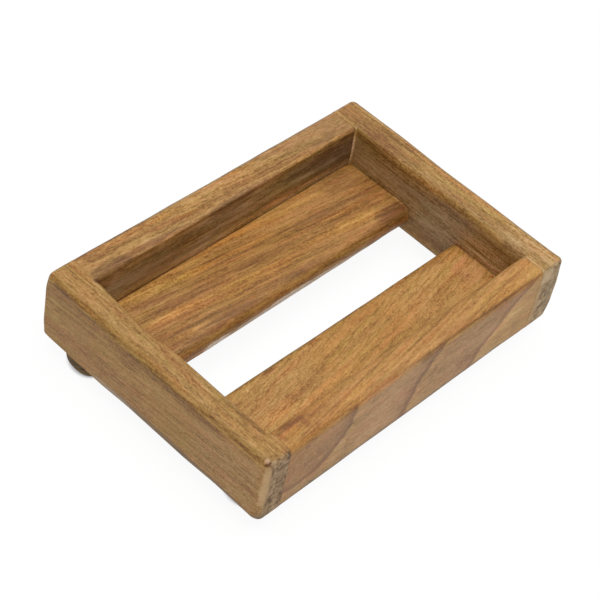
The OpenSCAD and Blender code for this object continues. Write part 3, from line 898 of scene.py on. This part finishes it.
FRONT_SLAT_FLAMES = [
    ((8, -25.6, 15), (6, 1, 2), (0.9, 0.84, 0.74), 0.8),
    ((-6, -16.6, 15), (5, 1.2, 2), (1.12, 1.12, 1.22), 0.7),
]
FRONT_SLAT_MARKS = [
    # Top
    ((34, -22, 15), (18, 12, 4), (1.05, 1.07, 1.2)),
    ((-34, -22, 15), (18, 12, 4), (1, 1.03, 1.18)),
    ((4, -20, 15), (20, 9, 4), (0.98, 0.95, 0.85)),
    ((46, -21, 15), (5, 6, 4), (1.06, 1.00, 1.25)),
    ((48, -17, 15), (5, 8, 4), (1.11, 1.09, 1.18)),
    ((42.5, -22, 15), (3, 3, 4), (0.92, 0.88, 0.9), 0.8),
    ((-36, -31.8, 15.2), (14, 1.5, 2), (1.12, 1.14, 1.25), 0.8),
    ((-25, -26.2, 15.2), (21, 1.8, 2), (1.24, 1.27, 1.32)),
    ((-36, -24, 15.2), (7, 1.8, 2), (1.18, 1.19, 1.22)),
    ((-18, -32.6, 15.2), (10, 1.2, 2), (1.2, 1.2, 1.2)),
    ((4, -19.4, 15), (11, 1.8, 2), (0.86, 0.84, 0.8)),
    ((39, -13, 15), (7, 1.3, 2), (0.76, 0.72, 0.66)),
    ((44.2, -22.3, 15), (0.9, 0.4, 1), (0.62, 0.5, 0.44)),
    # Edge along the slot: long dark lines of painted shade on its rounding, then chips and a pale spot
    ((-10, -11.1, 14.4), (36, 0.7, 0.8), (0.62, 0.66, 0.8)),
    ((32, -10.9, 14.2), (20, 0.5, 0.6), (0.7, 0.72, 0.8)),
    ((-27.5, -12.4, 15), (2.6, 0.7, 1), (0.68, 0.48, 0.32), 0.8),
    ((-10, -12.3, 15), (2, 0.6, 1), (0.7, 0.54, 0.4), 0.8),
    ((-37, -13.6, 15), (0.5, 0.5, 0.8), (1.35, 1.4, 1.8)),
    # Right end
    ((50.7, -22, 15), (0.35, 12, 1), (0.7, 0.62, 0.56), 0.8),
]
front_slat_wood = teak("teak_front_slat", "X", pith=(-70.0, -60.0), tilt=(0.19, 0.0), ring=2.4, seed=5.0,
                       mid=(159, 115, 53), band=0.2, line=0.04, cloud=0.4, strand=0.3,
                       fibre=0.38, fleck=0.45, curl=0.6,
                       nicks=[("across", -12.6, -11.0), ("along", 48.2, 49.8)],
                       flames=FRONT_SLAT_FLAMES, marks=FRONT_SLAT_MARKS)


# Back slat: a strong flame figure on its top, and a painted pale reflection along its lower edge at the slot

def on_level(up, depth, streaks):
    """Flames on a level face, given by their places and half sizes along and across it."""
    return [((along, over, up), (long, wide, depth), *rest)
            for (along, over), (long, wide), *rest in streaks]


BACK_SLAT_FLAMES = on_level(15.0, 4.0, [
    # Pale and dark bands behind the middle
    ((-33, 28.9), (13, 1.8), (1.55, 1.72, 1.9), 0.95),
    ((-18.5, 26.8), (7, 1.4), (1.7, 1.88, 1.95), 0.95),
    ((-24, 30.4), (18, 1), (1.2, 1.24, 1.25)),
    ((-34, 25.2), (11, 1.5), (0.84, 0.8, 0.9)),
    ((-4, 25.6), (12, 1), (1.22, 1.22, 1.2)),
    ((-6, 24.3), (17, 0.5), (0.66, 0.6, 0.54)),
    ((6, 24.4), (5, 1), (1.22, 1.24, 1.22)),
    ((6, 29.8), (22, 1.3), (1.22, 1.28, 1.2)),
    ((28, 28.2), (10, 1), (1.28, 1.33, 1.25)),
    ((42, 30.4), (7, 1.3), (0.68, 0.64, 0.62)),
    ((47, 23.8), (8, 1.8), (0.82, 0.76, 0.74)),
    # The middle
    ((-26, 21), (18, 1.5), (0.66, 0.59, 0.52)),
    ((-33, 18.6), (13, 1.4), (1.44, 1.52, 1.5), 0.95),
    ((2, 19.2), (17, 2), (0.7, 0.62, 0.5)),
    ((31, 21), (20, 1.3), (0.74, 0.7, 0.74), 0.95),
    ((33, 17.8), (9, 1.1), (1.46, 1.53, 1.65)),
    ((48, 16.4), (6, 1), (1.2, 1.08, 1.3), 0.8),
    # In front of the middle, down to the slot
    ((-25, 15.6), (7, 1.1), (1.28, 1.32, 1.32)),
    ((-6, 15.7), (21, 1.2), (1.38, 1.46, 1.46)),
    ((13, 15.4), (8, 1.1), (1.22, 1.25, 1.25)),
    ((-15, 13.9), (6, 1), (1.2, 1.22, 1.2)),
    ((1, 13.4), (15, 0.9), (1.18, 1.2, 1.15)),
    ((31, 13.4), (15, 2.2), (1.34, 1.4, 1.3), 0.95),
    ((-29, 12.1), (15, 0.7), (0.56, 0.49, 0.43), 0.95),
    ((-33.5, 10.9), (12, 0.7), (1.45, 1.48, 1.75), 0.95),
    ((15, 11.3), (9, 1.1), (0.76, 0.71, 0.66)),
    ((47, 11.5), (6, 1.1), (0.78, 0.74, 0.74)),
    ((-20, 9.1), (14, 1.5), (0.52, 0.43, 0.38)),
    ((2, 9.4), (20, 1.8), (0.77, 0.72, 0.72)),
])
BACK_SLAT_MARKS = [
    # Top
    ((-34, 19, 15), (18, 14, 4), (1.04, 1.08, 1.35)),
    ((34, 19, 15), (18, 14, 4), (0.96, 0.95, 1.02)),
    # Painted light: paler along the seat at the back rail, lifting its shade
    ((0, 30.4, 15.2), (60, 1.1, 1), (1.18, 1.18, 1.18)),
    ((42, 27, 15), (8, 3.4, 4), (0.78, 0.74, 0.72)),
    ((44, 17.5, 15), (5, 4.5, 4), (0.87, 0.84, 0.84)),
    # Edge along the slot
    ((-34, 7.8, 15), (10, 1.1, 2), (0.7, 0.64, 0.6)),
    ((45.5, 8.8, 14.4), (7, 2.6, 3.5), (0.46, 0.37, 0.31), 0.95),
    ((36, 7.6, 14), (6, 1, 3), (0.72, 0.64, 0.56)),
    # Painted reflection: paler along the lower edge at the slot
    ((0, 6.6, 11.4), (60, 0.9, 1.5), (1.15, 1.15, 1.1)),
    # Right end
    ((50.8, 8, 12), (0.5, 8, 20), (1.8, 1.9, 2.6), 1),
]
BACK_SLAT_PAINTED_REFLECTION = [
    # Lower edge along the slot: a painted pale reflection of the white floor
    ((-28, 6.4, 10.6), (5.5, 1.2, 1.2), (232, 212, 190), 0.95),
    ((0, 6.4, 10.7), (10, 1.2, 1.3), (240, 222, 202), 1),
    ((4, 6.4, 10.5), (28, 1.2, 1), (214, 192, 166), 0.85),
]
back_slat_wood = teak("teak_back_slat", "X", pith=(20.0, -60.0), tilt=(-0.1, -0.02), ring=2.6, seed=6.0,
                      mid=(150, 105, 46), band=0.45, strand=0.65, feather=1.3, fibre=0.45,
                      flames=BACK_SLAT_FLAMES, marks=BACK_SLAT_MARKS, wear_and_painted_light=BACK_SLAT_PAINTED_REFLECTION)


# Feet and dowels

foot_material = plain_wood("dark_foot_wood", dark=(44, 34, 20), light=(150, 124, 88), axis="Y", seed=7.0,
                           ior=1.3, rough=(0.75, 0.9))
dowel_material = plain_wood("beech_dowel", dark=(176, 140, 96), light=(208, 176, 132), axis="X", seed=8.0)


# Pieces

SHORT_FOCUS = (IN_FRONT_Y, IN_BACK_Y + WIDER_BACK)
block("left_rail", LEFT, left_rail_form, left_wood, SHORT_FOCUS)
block("right_rail", RIGHT, right_rail_form, right_wood, SHORT_FOCUS)
block("front_rail", FRONT, long_rail_form, front_wood)
block("back_rail", BACK, long_rail_form, back_wood)
block("front_slat", FRONT_SLAT, front_slat_form, front_slat_wood)
block("back_slat", BACK_SLAT, back_slat_form, back_slat_wood)
for foot_seed, foot_end in enumerate(("front_left", "front_right", "back_left", "back_right"), 81):
    foot(foot_end, foot_seed, foot_material)
for node_name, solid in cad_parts.items():
    if "dowel" in node_name:
        solid.data.materials.clear()
        solid.data.materials.append(dowel_material)


# Floor, light and camera

FLOOR_HALF = 1.6                              # metres
# Painted contact shadow: the floor's white darkens within this reach of what touches it, down to this level
PAINTED_SHADOW_REACH, PAINTED_SHADOW_LEVEL = 2.2, 0.35      # the dark rim where something touches the floor
PLAIN_WHITE = 0.93                            # share of plain white in the floor's look
WHITE = (1, 1, 1, 1)
FLOOR_SHADED, FLOOR_BOUNCE = (0.98, 0.98, 0.98, 1), (0.72, 0.72, 0.72, 1)
LAMP_PLACE, LAMP_SIZE, LAMP_WATTS = (-0.05, -0.1, 1.1), 1.1, 13.0
SURROUND = 0.42                               # light from all sides
EYE, AIM = (-296.977, -209.032, 390.470), (-1.907, 0.929, 15.0)
ROLL, LENS, SENSOR = -12.4897, 112.183, 36.0


def floor():
    """White to the camera, but for a little real shadow and a painted contact shadow where things touch it,
    and a pale grey to other light.
    """
    size = FLOOR_HALF
    mesh = bpy.data.meshes.new("floor")
    corners = [(-size, -size, 0), (size, -size, 0), (size, size, 0), (-size, size, 0)]
    mesh.from_pydata(corners, [], [(0, 1, 2, 3)])
    made = bpy.data.objects.new("floor", mesh)
    bpy.context.scene.collection.objects.link(made)
    t = Tree(bpy.data.materials.new("white_floor"))
    # Painted contact shadow: ambient occlusion darkens the white that the camera sees
    painted_contact_shadow = t.node("ShaderNodeAmbientOcclusion", {"Distance": PAINTED_SHADOW_REACH * MM}, samples=16)
    level = t.steps(painted_contact_shadow.outputs["AO"], 0.2, 0.7, PAINTED_SHADOW_LEVEL, 1.0)
    seen = t.node("ShaderNodeEmission", {"Color": WHITE, "Strength": level})
    shaded = t.node("ShaderNodeBsdfDiffuse", {"Color": FLOOR_SHADED})
    look = t.node("ShaderNodeMixShader", {"Fac": PLAIN_WHITE, 1: shaded.outputs[0], 2: seen.outputs[0]})
    bounce = t.node("ShaderNodeBsdfDiffuse", {"Color": FLOOR_BOUNCE})
    both = t.node("ShaderNodeMixShader", {"Fac": t.seen_directly(), 1: bounce.outputs[0],
                                          2: look.outputs[0]})
    t.node("ShaderNodeOutputMaterial", {"Surface": both.outputs[0]})
    mesh.materials.append(t.owner)


def lamp():
    """A wide soft lamp overhead."""
    light = bpy.data.lights.new("softbox", "AREA")
    light.shape = "SQUARE"
    light.size = LAMP_SIZE
    light.energy = LAMP_WATTS
    made = bpy.data.objects.new("softbox", light)
    made.location = LAMP_PLACE
    made.rotation_euler = Vector(LAMP_PLACE).to_track_quat("Z", "Y").to_euler()
    bpy.context.scene.collection.objects.link(made)


def surround():
    """White to the camera, and a dimmer white as light."""
    world = bpy.data.worlds.new("surround")
    bpy.context.scene.world = world
    t = Tree(world)
    level = t.steps(t.seen_directly(), 0.0, 1.0, SURROUND, 1.0, smooth=False)
    background = t.node("ShaderNodeBackground", {"Color": WHITE, "Strength": level})
    t.node("ShaderNodeOutputWorld", {"Surface": background.outputs[0]})


def camera():
    """The photograph's viewing angle, from the rails' edges."""
    eye, aim, roll = Vector(EYE) * MM, Vector(AIM) * MM, math.radians(ROLL)
    back = (eye - aim).normalized()
    level_right = (-back).cross(Vector((0, 0, 1))).normalized()
    level_up = level_right.cross(-back)
    up = level_up * math.cos(roll) + level_right * math.sin(roll)
    right = (-back).cross(up)
    data = bpy.data.cameras.new("camera")
    data.sensor_width = SENSOR
    data.lens = LENS
    data.clip_start, data.clip_end = 0.01, 10.0
    made = bpy.data.objects.new("camera", data)
    made.matrix_world = Matrix(((right.x, up.x, back.x, eye.x), (right.y, up.y, back.y, eye.y),
                                (right.z, up.z, back.z, eye.z), (0, 0, 0, 1)))
    bpy.context.scene.collection.objects.link(made)
    bpy.context.scene.camera = made


floor()
lamp()
surround()
camera()
bpy.context.scene.view_settings.view_transform = "Standard"
